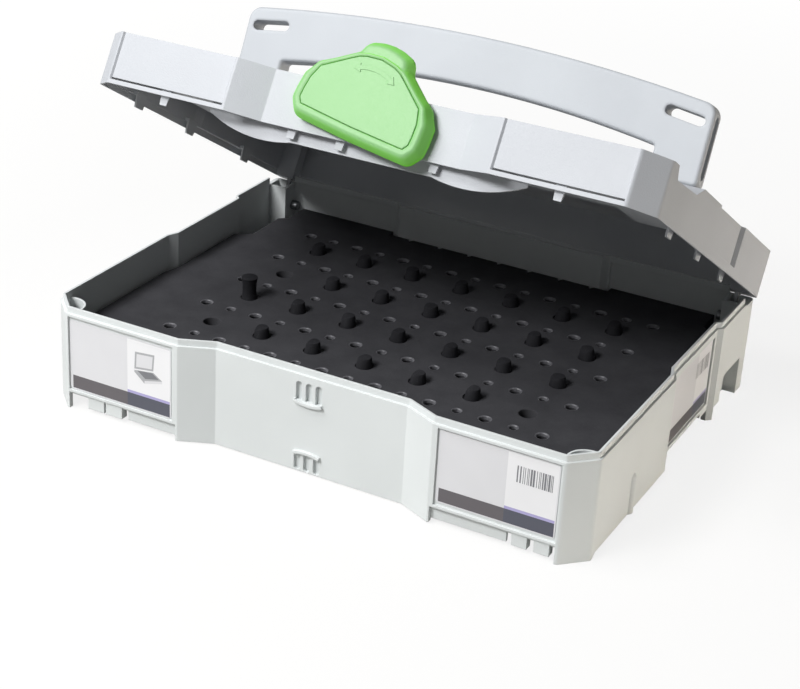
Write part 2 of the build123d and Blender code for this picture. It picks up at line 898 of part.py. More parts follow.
with BuildPart() as lid_shell:
    band_top = lid_z + lid_band
    add(raised(case_plan(rim_half), lid_z, band_top))
    add(raised(case_plan(lid_half), band_top, lid_top))
    grown_channel = channel_plan(lid_wall)
    notch_x = (half_width - notch_inset, half_width + 1)
    notch = [
        (notch_y[0], lid_top + 1),
        (notch_y[0], lid_top),
        (notch_y[1], notch_floor),
        (notch_y[2], notch_floor + notch_tilt),
        (notch_y[3], lid_top),
        (notch_y[3], lid_top + 1),
    ]
    add(
        [
            raised(case_plan(rim_half, lid_rim), lid_z - 1, lid_z + lid_rebate),
            raised(lid_inner, lid_z - 1, channel_under),
            lid_void(channel_under, notch_under, grown_channel),
            lid_void(notch_under, ceiling, grown_channel, notch_plan()),
            raised(channel_plan(), channel_floor, lid_top + 1),
            side_profile(notch, notch_x),
            side_profile(notch, (-notch_x[0], -notch_x[1])),
            panel_recesses(),
        ],
        mode=Mode.SUBTRACT,
    )
    hinge_block_x = (hinge_box_x + block_gap, half_width - lid_wall + wall_overlap)
    hinge_block_y = (hinge_box_y, hinge_y - block_rear_gap)
    hinge_block_low = lid_z - block_lift
    latch_boss_y = (front_centre_y - boss_proud, front_centre_y + 0.5)
    add(
        [
            *tongue_parts(),
            inner_skirt(),
            # blocks over the hinge boxes, which hold the arms
            *twin(hinge_block_x, hinge_block_y, (hinge_block_low, ceiling + 0.5)),
            disc(latch_rise, latch_boss_y, 0, latch_z),
        ]
    )
    spindle_bore_y = (front_y, front_centre_y + lid_wall + 1)
    handle_bore_x = (handle_half, channel_side + handle_pin_out + 0.3)
    add(
        [
            disc(spindle_radius + pin_run_gap, spindle_bore_y, 0, latch_z),
            *twin_rods(handle_pin_radius + pin_seat_gap, handle_bore_x, pivot_y, pivot_z),
        ],
        mode=Mode.SUBTRACT,
    )
save(opened(lid_shell.part), "lid_shell")

# hinge arms, one plate in each rear corner
for sign, side in ((-1, "left"), (1, "right")):
    with BuildPart() as hinge_arm:
        low_x = arm_x if sign > 0 else -arm_x - arm_thickness
        rise = hinge_block_low - hinge_z
        with BuildSketch(Plane.YZ.offset(low_x)):
            with Locations((hinge_y, hinge_z)):
                with Locations(Location((0, 0, 0), (0, 0, 1), arm_lean)):
                    with Locations((0, rise / 2 + 3)):
                        Rectangle(2 * arm_radius, rise + 6)
                Circle(arm_radius)
            with Locations((hinge_y, hinge_block_low + 10)):
                Rectangle(60, 20, mode=Mode.SUBTRACT)
            with Locations((hinge_y, hinge_z)):
                Circle(pin_radius + pin_run_gap, mode=Mode.SUBTRACT)
        extrude(amount=arm_thickness)
    save(opened(hinge_arm.part), f"hinge_arm_{side}")

# handle, drawn upright over its pivot and then leaned forward
front_face_y = pivot_y - handle_front
with BuildPart() as handle:
    top_end = pivot_z + handle_top_end
    grip_end = pivot_z + grip_low_end
    foot_z = pivot_z + leg_bottom
    with BuildSketch(Plane.XZ.offset(-(front_face_y + handle_thickness))):
        with BuildLine():
            ThreePointArc((-handle_half, top_end), (0, pivot_z + handle_top), (handle_half, top_end))
            Polyline(
                (handle_half, top_end),
                (handle_half, foot_z),
                (handle_inner, foot_z),
                (handle_inner, grip_end),
            )
            ThreePointArc(
                (handle_inner, grip_end), (0, pivot_z + grip_low), (-handle_inner, grip_end)
            )
            Polyline(
                (-handle_inner, grip_end),
                (-handle_inner, foot_z),
                (-handle_half, foot_z),
                (-handle_half, top_end),
            )
        make_face()
    extrude(amount=handle_thickness)
    across = handle.edges().filter_by(Axis.Y)
    top_corners = [e for e in across if abs(e.center().Z - top_end) < 0.1]
    fillet(top_corners, handle_top_soft)
    across = handle.edges().filter_by(Axis.Y)
    grip_corners = [e for e in across if abs(e.center().Z - grip_end) < 0.1]
    fillet(grip_corners, grip_soft)
    across = handle.edges().filter_by(Axis.Y)
    feet = [e for e in across if abs(e.center().Z - foot_z) < 0.1]
    fillet(feet, foot_soft)
    front_rim = handle.edges().group_by(Axis.Y)[0]
    rear_rim = handle.edges().group_by(Axis.Y)[-1]
    chamfer(front_rim + rear_rim, handle_edge)
    for sign in (1, -1):
        strap_place = Location(
            (sign * (handle_half - strap_slot_inset), pivot_z + strap_slot_height),
            (0, 0, 1),
            -sign * strap_slot_tilt,
        )
        with BuildSketch(Plane.XZ.offset(-(front_face_y + handle_thickness + 1))):
            with Locations(strap_place):
                SlotOverall(*strap_slot)
        extrude(amount=handle_thickness + 2, mode=Mode.SUBTRACT)
        slot_x = handle_half - side_slot_depth if sign > 0 else -handle_half
        with BuildSketch(Plane.YZ.offset(slot_x)):
            with Locations(Location((pivot_y + 1, pivot_z + side_slot_height), (0, 0, 1), 90)):
                SlotOverall(*side_slot)
        extrude(amount=side_slot_depth, mode=Mode.SUBTRACT)
    lug_x = (handle_half - lug_width, handle_half)
    lug_y = (pivot_y - lug_front, pivot_y + lug_radius)
    add(
        [
            *twin(lug_x, lug_y, (pivot_z, foot_z + 0.5)),
            *twin_rods(lug_radius, lug_x, pivot_y, pivot_z),
        ]
    )
    bore_x = (handle_half - handle_pin_in - 0.3, handle_half + 1)
    bore_radius = handle_pin_radius + pin_run_gap
    add(twin_rods(bore_radius, bore_x, pivot_y, pivot_z), mode=Mode.SUBTRACT)
leaned = handle.part.rotate(Axis((0, pivot_y, pivot_z), (1, 0, 0)), handle_lean)
save(opened(leaned), "handle")
for sign, side in ((-1, "left"), (1, "right")):
    pin_x = (sign * (handle_half - handle_pin_in), sign * (channel_side + handle_pin_out))
    save(opened(rod(handle_pin_radius, pin_x, pivot_y, pivot_z)), f"handle_pin_{side}")

# latch, drawn upright and then turned with the clock
knob_rear_y = front_centre_y - knob_gap
knob_front_y = front_centre_y - knob_reach
hook_rear_y = front_centre_y - hook_gap
face_z = latch_z + face_lift
face_half = [
    (0, -9.3),
    (38.3, -8.6),
    (40.8, -5.0),
    (40.8, 0),
    (40.0, 8.5),
    (36.8, 17.4),
    (19.2, 29.6),
    (15.0, 32.3),
    (10.3, 34.0),
    (0, 35.5),
]


def face_plan(grow):
    """Outline of the latch's face panel, grown all round."""
    with BuildSketch(Plane.XZ) as plan:
        with BuildLine():
            Polyline(*[(x, face_z + z) for x, z in both_sides(face_half)], close=True)
        make_face()
        if grow > 0:
            offset(amount=grow, kind=Kind.ARC)
    return plan.sketch


def turned(part):
    """A latch part turned to its rest angle on the lid and then with the lid."""
    return opened(part.rotate(Axis((0, 0, latch_z), (0, 1, 0)), rest_turn))


def latch_neck():
    """The bevelled block above the face panel that carries the hook."""
    neck_y = (knob_front_y + neck_back, knob_rear_y)
    neck_z = (face_z + neck_low, face_z + neck_top)
    with BuildPart() as piece:
        add(block((-neck_half, neck_half), neck_y, neck_z))
        tip = piece.faces().sort_by(Axis.Y)[0].edges()
        chamfer([e for e in tip if e.center().Z > neck_z[0] + 1], neck_bevel)
    return piece.part


with BuildPart() as latch_knob:
    with BuildSketch(Plane.XZ.offset(-knob_rear_y)):
        add(face_plan(face_margin + knob_flare))
    extrude(amount=knob_band)
    with BuildSketch(Plane.XZ.offset(-knob_rear_y + knob_band)):
        add(face_plan(face_margin + knob_flare))
    with BuildSketch(Plane.XZ.offset(-knob_front_y)):
        add(face_plan(face_margin))
    loft()
    add(latch_neck())
    hook_y = (knob_rear_y - 0.5, hook_rear_y)
    add(arc_band(hook_inner, hook_outer, hook_y, latch_z, hook_half_angle, True))
    with BuildSketch(Plane.XZ.offset(-knob_front_y)):
        add(face_plan(face_gap))
    extrude(amount=-face_thickness, mode=Mode.SUBTRACT)
    wall_back = front_centre_y + lid_wall
    spindle_y = (knob_front_y + face_thickness + 1.2, wall_back + spindle_tail)
    socket_y = (spindle_y[0] - 0.1, knob_rear_y + 1)
    add(disc(spindle_radius + pin_seat_gap, socket_y, 0, latch_z), mode=Mode.SUBTRACT)
save(turned(latch_knob.part), "latch_knob")

with BuildPart() as latch_face:
    with BuildSketch(Plane.XZ.offset(-knob_front_y - face_thickness)):
        add(face_plan(0))
    extrude(amount=face_thickness + face_proud)
    chamfer(latch_face.edges().group_by(Axis.Y)[0], 0.4)
save(turned(latch_face.part), "latch_face")

save(turned(disc(spindle_radius, spindle_y, 0, latch_z)), "latch_spindle")

with BuildPart() as latch_washer:
    washer_y = (wall_back, wall_back + washer_thickness)
    add(disc(washer_radius, washer_y, 0, latch_z))
    washer_bore_y = (washer_y[0] - 1, washer_y[1] + 1)
    add(disc(spindle_radius + 0.4, washer_bore_y, 0, latch_z), mode=Mode.SUBTRACT)
save(opened(latch_washer.part), "latch_washer")

with BuildPart() as latch_clip:
    clip_y = (washer_y[1] + 0.4, washer_y[1] + 0.4 + clip_thickness)
    add(disc(clip_radius, clip_y, 0, latch_z))
    clip_bore_y = (clip_y[0] - 1, clip_y[1] + 1)
    add(disc(spindle_radius + pin_seat_gap, clip_bore_y, 0, latch_z), mode=Mode.SUBTRACT)
save(turned(latch_clip.part), "latch_clip")
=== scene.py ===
"""Tool case with a foam insert for router bits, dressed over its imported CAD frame, in metres."""

import math
import random

import bmesh
import bpy
from mathutils import Matrix, Vector


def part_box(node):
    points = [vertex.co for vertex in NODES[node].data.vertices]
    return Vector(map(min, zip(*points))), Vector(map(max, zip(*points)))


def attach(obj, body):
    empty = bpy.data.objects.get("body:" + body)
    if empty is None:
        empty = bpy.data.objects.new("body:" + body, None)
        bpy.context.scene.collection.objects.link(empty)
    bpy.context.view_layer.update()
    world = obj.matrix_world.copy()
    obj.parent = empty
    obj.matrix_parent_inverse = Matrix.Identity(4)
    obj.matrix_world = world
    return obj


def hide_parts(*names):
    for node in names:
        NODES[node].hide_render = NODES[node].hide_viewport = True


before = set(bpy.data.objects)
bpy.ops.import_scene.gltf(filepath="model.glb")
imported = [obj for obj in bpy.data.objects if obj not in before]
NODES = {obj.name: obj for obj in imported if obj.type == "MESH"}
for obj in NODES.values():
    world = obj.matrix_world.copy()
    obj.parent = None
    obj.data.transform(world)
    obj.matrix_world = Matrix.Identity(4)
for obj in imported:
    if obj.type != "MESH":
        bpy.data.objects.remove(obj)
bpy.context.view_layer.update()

MM = 0.001


# Helpers


def linear(hex_colour):
    """An sRGB hex colour as linear RGBA."""
    values = [int(hex_colour[i : i + 2], 16) / 255 for i in (1, 3, 5)]
    return [v / 12.92 if v <= 0.04045 else ((v + 0.055) / 1.055) ** 2.4 for v in values] + [1.0]


def add_node(tree, kind, inputs=None, **settings):
    """Adds a node, with its settings, and its inputs as values or as links."""
    node = tree.nodes.new(kind)
    for name, value in settings.items():
        setattr(node, name, value)
    for name, value in (inputs or {}).items():
        if isinstance(value, bpy.types.NodeSocket):
            tree.links.new(value, node.inputs[name])
        else:
            node.inputs[name].default_value = value
    return node


def blank_material(name):
    """A material with its own shader and output."""
    material = bpy.data.materials.new(name)
    material.use_nodes = True
    tree = material.node_tree
    tree.nodes.clear()
    shader = add_node(tree, "ShaderNodeBsdfPrincipled")
    add_node(tree, "ShaderNodeOutputMaterial", {"Surface": shader.outputs[0]})
    return material, tree, shader


# Where the values of a cloudy pattern mostly lie
PATTERN_LOW, PATTERN_HIGH = 0.3, 0.7


def cloudy_pattern(tree, across_mm, detail=3.0, roughness=0.5):
    """A pattern with patches of a width in millimetres, laid over the piece's own space."""
    place = add_node(tree, "ShaderNodeTexCoord")
    patches = add_node(
        tree,
        "ShaderNodeTexNoise",
        {
            "Vector": place.outputs["Object"],
            "Scale": 1 / (across_mm * MM),
            "Detail": detail,
            "Roughness": roughness,
        },
    )
    return patches.outputs["Fac"]


def two_tones(tree, value, first, second, low=PATTERN_LOW, high=PATTERN_HIGH, most=1.0):
    """One colour turning into another as a value goes from low to high, as far as most."""
    share = add_node(
        tree,
        "ShaderNodeMapRange",
        {"Value": value, "From Min": low, "From Max": high, "To Min": 0.0, "To Max": most},
    )
    colours = add_node(
        tree,
        "ShaderNodeMix",
        {0: share.outputs["Result"], 6: first, 7: second},
        data_type="RGBA",
    )
    return colours.outputs[2]


def uneven_gloss(tree, shader, value, glossy, dull):
    """Makes a surface duller as the value of a pattern rises."""
    roughness = add_node(
        tree,
        "ShaderNodeMapRange",
        {
            "Value": value,
            "From Min": PATTERN_LOW,
            "From Max": PATTERN_HIGH,
            "To Min": glossy,
            "To Max": dull,
        },
    )
    tree.links.new(roughness.outputs["Result"], shader.inputs["Roughness"])


def dress(name, *materials):
    """Gives a CAD node its materials."""
    slots = NODES[name].data.materials
    slots.clear()
    for material in materials:
        slots.append(material)


def new_piece(name, mesh, body, *materials):
    """A mesh as a piece that rides on a body."""
    piece = bpy.data.objects.new(name, mesh)
    bpy.context.scene.collection.objects.link(piece)
    for material in materials:
        mesh.materials.append(material)
    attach(piece, body)
    return piece


def smooth_by_angle(mesh, degrees):
    """Smooth shading, with sharp edges kept."""
    shape = bmesh.new()
    shape.from_mesh(mesh)
    for face in shape.faces:
        face.smooth = True
    for edge in shape.edges:
        if len(edge.link_faces) == 2:
            edge.smooth = edge.calc_face_angle(0) < math.radians(degrees)
    shape.to_mesh(mesh)
    shape.free()


def to_mesh(shape, name):
    """Turns a bmesh into a mesh, and frees it."""
    mesh = bpy.data.meshes.new(name)
    shape.to_mesh(mesh)
    shape.free()
    return mesh


def bridge(shape, first, second):
    """Adds the band of faces between two rings of as many points."""
    for i in range(len(first)):
        j = (i + 1) % len(first)
        shape.faces.new((first[i], first[j], second[j], second[i]))


# The latch's own plane: its front's direction, a point on its axis and its turn at rest

LATCH_FRONT = Vector((0.0, -0.8589599, 0.5120429))
LATCH_AXIS_POINT = Vector((0, 37.84679, 155.00189)) * MM
LATCH_REST_TURN = math.radians(10.2)


def latch_point(x, y, height):
    """A point from its place on the latch's own plane and its height, in millimetres."""
    level = Vector((1, 0, 0))
    upright = level.cross(LATCH_FRONT) * -1
    up = math.cos(LATCH_REST_TURN) * upright + math.sin(LATCH_REST_TURN) * level
    right = math.cos(LATCH_REST_TURN) * level - math.sin(LATCH_REST_TURN) * upright
    return LATCH_AXIS_POINT + (right * x + up * y + LATCH_FRONT * height) * MM


# Materials


def rounded_edges(tree, radius_mm):
    """The shading normal of an edge rounded by a radius, and how like the flat face's own it is,
    which falls from 1 near an edge."""
    rounded = add_node(tree, "ShaderNodeBevel", {"Radius": radius_mm * MM}, samples=6)
    plain = add_node(tree, "ShaderNodeNewGeometry")
    alike = add_node(
        tree,
        "ShaderNodeVectorMath",
        {0: rounded.outputs[0], 1: plain.outputs["Normal"]},
        operation="DOT_PRODUCT",
    )
    return rounded.outputs[0], alike.outputs["Value"]


def spark_eroded_abs(name, colours, edge_highlight_colour, grain, rough, edge_mm=0.6, front=None):
    """Injection moulded ABS from a spark-eroded mould: a soft sheen broken by fine grain, with
    edges rounded in shading and given a paler colour as a painted highlight. The grain is drawn
    coarser than the real one so that it shows. A front colour is a painted sheen on what faces the
    way the latch does."""
    material, tree, shader = blank_material(name)
    normal, alike = rounded_edges(tree, edge_mm)
    flow = cloudy_pattern(tree, across_mm=70.0, detail=2.0)
    grains = cloudy_pattern(tree, across_mm=0.9, detail=2.0)
    body = two_tones(tree, flow, linear(colours[0]), linear(colours[1]), low=0.35, high=0.65)
    # Faces turned the way the latch faces take a paler colour: a painted sheen standing for a
    # lamp's reflection.
    if front:
        place = add_node(tree, "ShaderNodeTexCoord")
        facing = add_node(
            tree,
            "ShaderNodeVectorMath",
            {0: place.outputs["Normal"], 1: LATCH_FRONT},
            operation="DOT_PRODUCT",
        )
        body = two_tones(tree, facing.outputs["Value"], body, linear(front), low=0.15, high=0.9)
    # A paler colour near the edges: a painted highlight.
    painted_edge_highlight = two_tones(tree, alike, body, linear(edge_highlight_colour), low=1.0, high=0.9, most=0.45)
    tree.links.new(painted_edge_highlight, shader.inputs["Base Color"])
    uneven_gloss(tree, shader, grains, glossy=rough - 0.05, dull=rough + 0.06)
    bump = add_node(
        tree,
        "ShaderNodeBump",
        {"Height": grains, "Normal": normal, "Strength": grain * 4, "Distance": 0.12 * MM},
    )
    tree.links.new(bump.outputs[0], shader.inputs["Normal"])
    return material


def closed_cell_foam(name, dark, pale):
    """Cross-linked polyethylene foam: a skin of fine closed cells, dull and faintly mottled. The
    cells are drawn wider than the real ones so that they show."""
    material, tree, shader = blank_material(name)
    cells = cloudy_pattern(tree, across_mm=0.8, detail=4.0, roughness=0.6)
    dust = cloudy_pattern(tree, across_mm=22.0, detail=5.0, roughness=0.6)
    body = two_tones(tree, dust, linear(dark), linear(pale))
    speck = two_tones(tree, cells, body, linear("#6A6A6E"), low=0.62, high=0.78, most=0.35)
    tree.links.new(speck, shader.inputs["Base Color"])
    uneven_gloss(tree, shader, cells, glossy=0.72, dull=0.9)
    shader.inputs["Specular IOR Level"].default_value = 0.12
    bump = add_node(
        tree, "ShaderNodeBump", {"Height": cells, "Strength": 0.35, "Distance": 0.25 * MM}
    )
    tree.links.new(bump.outputs[0], shader.inputs["Normal"])
    return material


def sealed_foam_painted_highlight(name):
    """The rim of a hole punched with a hot tool: foam sealed to a smooth skin that shines,
    coloured a paler grey than the foam as a painted highlight.
    """
    material, tree, shader = blank_material(name)
    skin = cloudy_pattern(tree, across_mm=2.5, detail=2.0)
    # Greys paler than the foam's: a painted highlight on the sealed skin.
    body = two_tones(tree, skin, linear("#4A4A4E"), linear("#68686C"))
    tree.links.new(body, shader.inputs["Base Color"])
    uneven_gloss(tree, shader, skin, glossy=0.28, dull=0.46)
    bump = add_node(
        tree, "ShaderNodeBump", {"Height": skin, "Strength": 0.3, "Distance": 0.3 * MM}
    )
    tree.links.new(bump.outputs[0], shader.inputs["Normal"])
    return material


def printed_card(name, colour):
    """Coated card: flat printed colour under a thin clear film. The paper's fibre is drawn coarser
    than the real one so that it shows."""
    material, tree, shader = blank_material(name)
    fibre = cloudy_pattern(tree, across_mm=1.2)
    cloud = cloudy_pattern(tree, across_mm=30.0, detail=2.0)
    shade = [0.97 * v for v in linear(colour)[:3]] + [1.0]
    body = two_tones(tree, cloud, linear(colour), shade)
    tree.links.new(body, shader.inputs["Base Color"])
    uneven_gloss(tree, shader, fibre, glossy=0.28, dull=0.37)
    shader.inputs["Coat Weight"].default_value = 0.2
    return material


def turned_steel(name, colour="#86888A", rough=0.42):
    """Turned steel: bright metal whose gloss is broken by the fine marks of the tool, which are
    drawn wider than the real ones so that they show."""
    material, tree, shader = blank_material(name)
    marks = cloudy_pattern(tree, across_mm=0.7)
    body = two_tones(tree, marks, linear(colour), linear("#5E6062"), most=0.3)
    tree.links.new(body, shader.inputs["Base Color"])
    shader.inputs["Metallic"].default_value = 1.0
    uneven_gloss(tree, shader, marks, glossy=rough - 0.06, dull=rough + 0.1)
    return material


# Each ABS material's third colour is a painted highlight along its edges.
shell_grey = spark_eroded_abs(
    "Spark-eroded ABS, light grey", ("#CDD1D1", "#D2D6D6"), "#E0E3E3", grain=0.08, rough=0.52
)
# The lid is the same ABS as the shell, in darker, bluer colours: painted shade and a painted tint
# of light from above.
lid_grey_painted_shade = spark_eroded_abs(
    "Spark-eroded ABS, lid grey with painted shade",
    ("#B0B3B8", "#B5B8BD"),
    "#C4C7CB",
    grain=0.26,
    rough=0.56,
    edge_mm=0.3,
)
# The handle is the same ABS as the shell, in darker colours as painted shade.
handle_grey_painted_shade = spark_eroded_abs(
    "Spark-eroded ABS, handle grey with painted shade",
    ("#B0B4B9", "#B5B9BE"),
    "#C0C4C8",
    grain=0.1,
    rough=0.54,
    edge_mm=3.0,
)
# The latch's green, with a paler front colour as a painted sheen from a lamp's reflection.
latch_green = spark_eroded_abs(
    "Satin ABS, green with a painted sheen on its front",
    ("#7CE23C", "#82E644"),
    "#90D868",
    grain=0.03,
    rough=0.5,
    edge_mm=0.8,
    front="#7EB073",
)
# A pale green that paints a lamp's sheen over the latch's green, for its face and arrow.
latch_painted_sheen = spark_eroded_abs(
    "Satin ABS, pale green as painted sheen", ("#7DAF73", "#82B378"), "#90BE86", grain=0.03, rough=0.5, edge_mm=0.3
)
foam_black = closed_cell_foam("Closed-cell foam, black", "#333336", "#3C3C3F")
foam_plug = closed_cell_foam("Closed-cell foam plug, black", "#1C1C1F", "#262629")
# The rims' paler grey is a painted highlight.
sealed_rim_painted_highlight = sealed_foam_painted_highlight("Heat-sealed foam rim with painted highlight")
pin_steel = turned_steel("Turned steel")
spring_steel = turned_steel("Spring steel, oiled", "#77797B", 0.38)
card_grey = printed_card("Coated card, pale grey", "#D6D6D9")
card_white = printed_card("Coated card, white", "#E6E6E8")
card_bar = printed_card("Coated card, warm dark grey", "#5F5B5F")
card_dark = printed_card("Coated card, dark slate", "#50525E")
card_line = printed_card("Coated card, lilac", "#A8A2CC")
card_ink = printed_card("Coated card, grey ink", "#A6A7AA")
card_ink_dark = printed_card("Coated card, dark ink", "#76777C")


# CAD nodes that keep their shape

dress("base_shell", shell_grey)
dress("lid_shell", lid_grey_painted_shade)
dress("handle", handle_grey_painted_shade)
# The latch's face in the pale green of the painted sheen.
dress("latch_face", latch_painted_sheen)
for node in ("hinge_pin_left", "hinge_pin_right", "latch_spindle"):
    dress(node, pin_steel)
for node in ("handle_pin_left", "handle_pin_right", "hinge_arm_left", "hinge_arm_right"):
    dress(node, pin_steel)
for node in ("latch_washer", "latch_clip"):
    dress(node, spring_steel)


# The curved arrow with two heads, standing a little proud of the latch's face


ARROW_RADIUS = 29.5
ARROW_HALF_TURN = 22.0
ARROW_HALF_WIDTH = 1.3
ARROW_HEAD = (3.0, 8.5)
ARROW_PROUD = 0.4
ARROW_SUNK = 0.1
ARROW_STEPS = 16


def curved_arrow():
    """A raised arc with a head at both ends, drawn round the latch's axis."""
    face = NODES["latch_face"]
    points = [face.matrix_world @ v.co for v in face.data.vertices]
    proud = max((p - LATCH_AXIS_POINT).dot(LATCH_FRONT) for p in points) / MM

    def place(radius, degrees, height):
        turn = math.radians(degrees)
        return latch_point(radius * math.sin(turn), radius * math.cos(turn), proud + height)

    head_half, head_turn = ARROW_HEAD
    outline = [(ARROW_RADIUS, ARROW_HALF_TURN + head_turn)]
    outline.append((ARROW_RADIUS + head_half, ARROW_HALF_TURN))
    steps = [ARROW_HALF_TURN * (1 - 2 * i / ARROW_STEPS) for i in range(ARROW_STEPS + 1)]
    outline += [(ARROW_RADIUS + ARROW_HALF_WIDTH, step) for step in steps]
    outline.append((ARROW_RADIUS + head_half, -ARROW_HALF_TURN))
    outline.append((ARROW_RADIUS, -ARROW_HALF_TURN - head_turn))
    outline.append((ARROW_RADIUS - head_half, -ARROW_HALF_TURN))
    outline += [(ARROW_RADIUS - ARROW_HALF_WIDTH, -step) for step in steps]
    outline.append((ARROW_RADIUS - head_half, ARROW_HALF_TURN))
    shape = bmesh.new()
    foot = [shape.verts.new(place(r, a, -ARROW_SUNK)) for r, a in outline]
    top = [shape.verts.new(place(r, a, ARROW_PROUD)) for r, a in outline]
    shape.faces.new(top)
    bridge(shape, foot, top)
    bmesh.ops.recalc_face_normals(shape, faces=shape.faces)
    return to_mesh(shape, "Latch_arrow")


# The arrow in the pale green of the painted sheen.
arrow = new_piece("Latch_arrow", curved_arrow(), "latch", latch_painted_sheen)


# The latch's knob: a thick plate that flares towards the lid, with a round neck above its face.
# Its sizes are millimetres on the latch's own plane, measured from the axis. Each level is how
# far the plate reaches past the face panel and how high that is over the plate's rear. The face
# panel lies in a pocket with a soft lip, and the neck steps down beside the ring round it.


FACE_RISE = 1.0
FACE_LOW, FACE_HIGH = -9.3, 35.5
FACE_HALF = [
    (38.3, -8.6),
    (40.8, -5.0),
    (40.8, 0.0),
    (40.0, 8.5),
    (36.8, 17.4),
    (19.2, 29.6),
    (15.0, 32.3),
    (10.3, 34.0),
]
NECK_HALF = [(12.8, 24.0), (12.6, 32.0), (10.4, 37.8), (5.6, 39.2)]
NECK_LOW, NECK_HIGH = 24.0, 39.7
KNOB_CENTRE = (0.0, 15.0)
KNOB_REAR = 140.3
KNOB_THICKNESS = 10.6
KNOB_LEVELS = [
    (7.9, -0.1),
    (8.5, 0.4),
    (8.5, 3.0),
    (8.2, 3.8),
    (6.3, 8.2),
    (5.4, 9.5),
    (4.4, 10.3),
]
KNOB_RIM = 3.3
KNOB_STEP = 1.0
RING_APART = 0.15
POCKET_GAP = 0.4
POCKET_DEPTH = 2.2
POCKET_SOFT = (0.25, 0.2)
NECK_FROM = 0.1
NECK_DROP = 1.2
NECK_FILLET = 1.4
HOOK_BEHIND = 0.05
STEEP_LOW = 12.0
STEEP_HIGH = 26.0
STEEP_GAIN = 0.7
KNOB_SPOKES = 176
SPOKE_REACH = 90.0
SPOKE_HALVINGS = 18
FAR_AWAY = 1e9


def mirrored(half, low, high):
    """A closed outline from the points of its right half and its lowest and highest height."""
    return [(0, low)] + half + [(0, high)] + [(-x, y) for x, y in reversed(half)]


FACE_OUTLINE = [(x, y + FACE_RISE) for x, y in mirrored(FACE_HALF, FACE_LOW, FACE_HIGH)]
NECK_OUTLINE = mirrored(NECK_HALF, NECK_LOW, NECK_HIGH)


def reach_outside(outline, x, y):
    """How far a point lies outside an outline, and less than zero inside."""
    nearest_edge = FAR_AWAY
    inside = False
    for i, (ax, ay) in enumerate(outline):
        bx, by = outline[(i + 1) % len(outline)]
        run, rise = bx - ax, by - ay
        along = ((x - ax) * run + (y - ay) * rise) / (run * run + rise * rise)
        along = min(1.0, max(0.0, along))
        nearest_edge = min(nearest_edge, math.hypot(x - ax - along * run, y - ay - along * rise))
        if (ay > y) != (by > y) and x < ax + (y - ay) * run / rise:
            inside = not inside
    return -nearest_edge if inside else nearest_edge


def outside_face(x, y):
    """How far a point lies outside the face panel."""
    return reach_outside(FACE_OUTLINE, x, y)


def outside_ring(x, y):
    """How far a point lies outside the face panel, counted longer where the side is steep."""
    steep = min(1.0, max(0.0, (y - STEEP_LOW) / (STEEP_HIGH - STEEP_LOW)))
    return outside_face(x, y) * (1 + STEEP_GAIN * steep)


def outside_knob(x, y):
    """How far a point lies outside the face panel and neck, joined by a fillet."""
    face, neck = outside_ring(x, y), reach_outside(NECK_OUTLINE, x, y)
    fillet = max(0.0, NECK_FILLET - abs(face - neck)) / NECK_FILLET
    return min(face, neck) - fillet * fillet * NECK_FILLET / 4


def on_spoke(number, length):
    """The point at a length along one of the spokes from the knob's centre."""
    turn = 2 * math.pi * number / KNOB_SPOKES
    return KNOB_CENTRE[0] + length * math.sin(turn), KNOB_CENTRE[1] + length * math.cos(turn)


def spoke_lengths(outside, grow):
    """Where the spokes from the knob's centre cross the outline grown by a margin."""
    lengths = []
    for number in range(KNOB_SPOKES):
        near, far = 0.0, SPOKE_REACH
        for _ in range(SPOKE_HALVINGS):
            middle = (near + far) / 2
            if outside(*on_spoke(number, middle)) < grow:
                near = middle
            else:
                far = middle
        lengths.append(near)
    return lengths


def knob_rings():
    """The knob's rings from its rear edge over its rim to the floor of its pocket."""
    rings = [(spoke_lengths(outside_knob, grow), height, grow) for grow, height in KNOB_LEVELS]
    rim = spoke_lengths(outside_knob, KNOB_RIM)
    step = spoke_lengths(outside_ring, KNOB_RIM + KNOB_STEP)
    ring = spoke_lengths(outside_ring, KNOB_RIM)
    pocket = spoke_lengths(outside_face, POCKET_GAP)
    outer = [min(a, b - RING_APART) for a, b in zip(step, rim)]
    inner = [min(a, b - RING_APART) for a, b in zip(ring, outer)]
    soft_out, soft_down = POCKET_SOFT
    lip = [a + soft_out for a in pocket]
    for lengths in (rim, outer, inner, lip):
        rings.append((lengths, KNOB_THICKNESS, KNOB_RIM))
    for depth in (soft_down, POCKET_DEPTH):
        rings.append((pocket, KNOB_THICKNESS - depth, KNOB_RIM))
    return rings


def knob_hook():
    """The hook behind the knob, kept from the CAD's own shape."""
    node = NODES["latch_knob"]
    hook = bmesh.new()
    hook.from_mesh(node.data)
    bmesh.ops.transform(hook, matrix=node.matrix_world, verts=hook.verts)
    bmesh.ops.remove_doubles(hook, verts=hook.verts, dist=0.001 * MM)
    cut = bmesh.ops.bisect_plane(
        hook,
        geom=hook.verts[:] + hook.edges[:] + hook.faces[:],
        plane_co=latch_point(0, 0, KNOB_REAR - HOOK_BEHIND),
        plane_no=LATCH_FRONT,
        clear_outer=True,
    )
    edges = [e for e in cut["geom_cut"] if isinstance(e, bmesh.types.BMEdge)]
    bmesh.ops.triangle_fill(hook, edges=edges, use_beauty=True)
    return to_mesh(hook, "hook")


